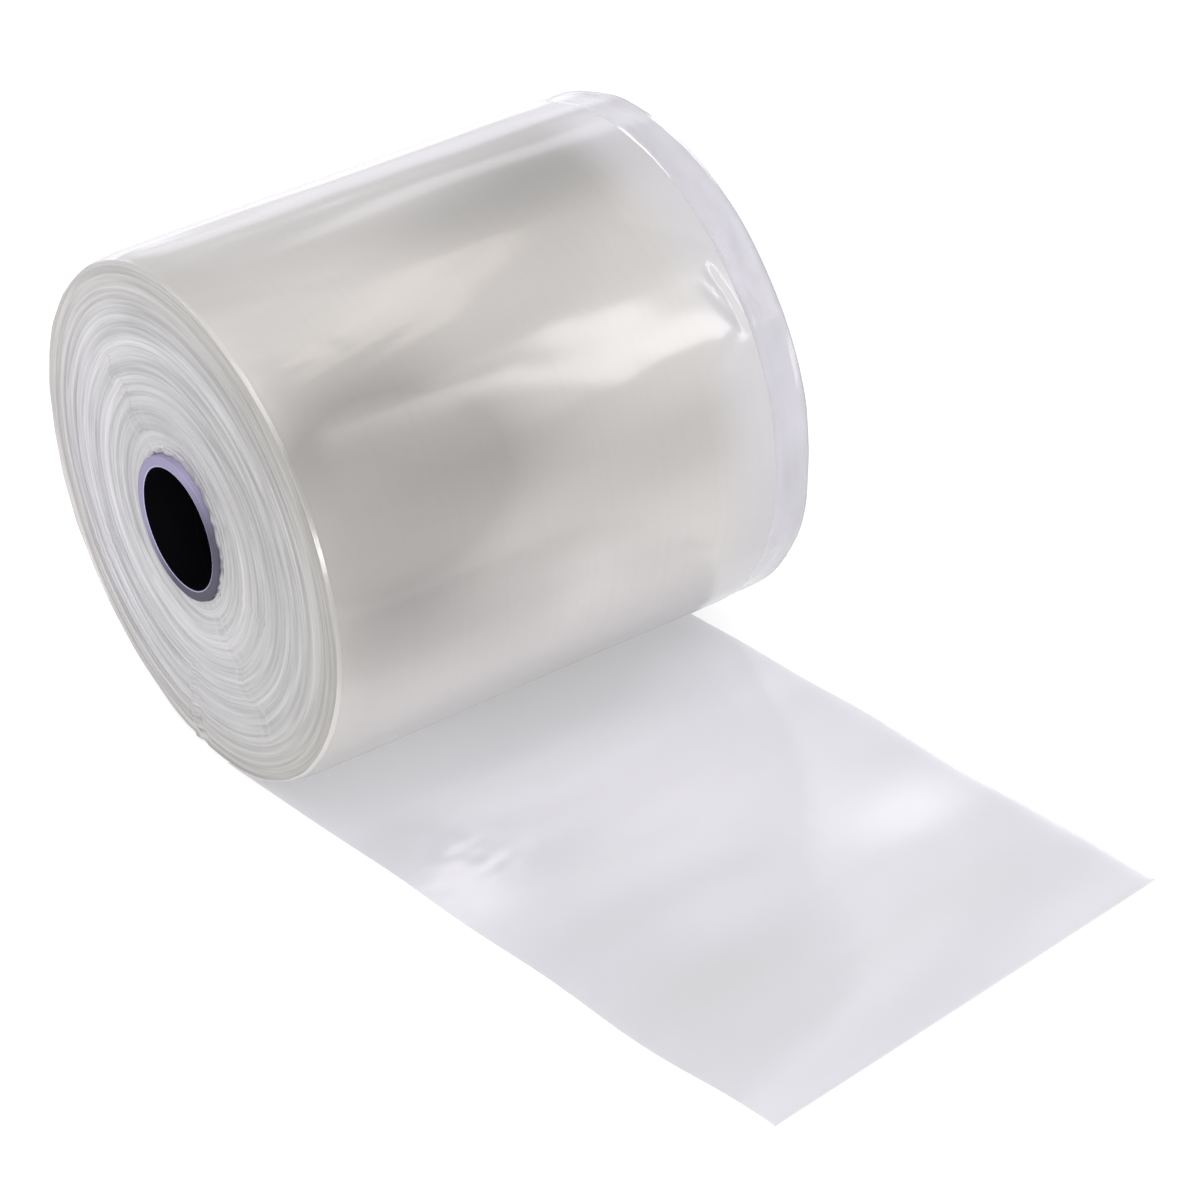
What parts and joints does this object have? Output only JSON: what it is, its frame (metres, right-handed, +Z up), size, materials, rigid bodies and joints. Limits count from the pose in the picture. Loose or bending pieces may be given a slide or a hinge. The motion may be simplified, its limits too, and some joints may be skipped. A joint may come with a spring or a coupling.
{
  "type": "roll of poly tubing",
  "caption": "Roll of clear lay-flat poly tubing wound on a tube core, lying on its side with its free end run out flat along the floor.",
  "frame": {"origin": "centre of the core's bore, halfway along the core", "axes": "+Y along the core's bore, +Z up with the roll lying on its side, +X the way the free end runs off along the floor"},
  "size_m": [0.662, 0.3523, 0.324],
  "materials": {
    "core_board": "smooth lavender-grey wound paperboard, dull",
    "clear_film": "clear low-density polyethylene film, pearly and satin where many turns lie together"
  },
  "bodies": {
    "root": {"core": "core_board", "poly_tubing": "clear_film"}
  },
  "joints": []
}
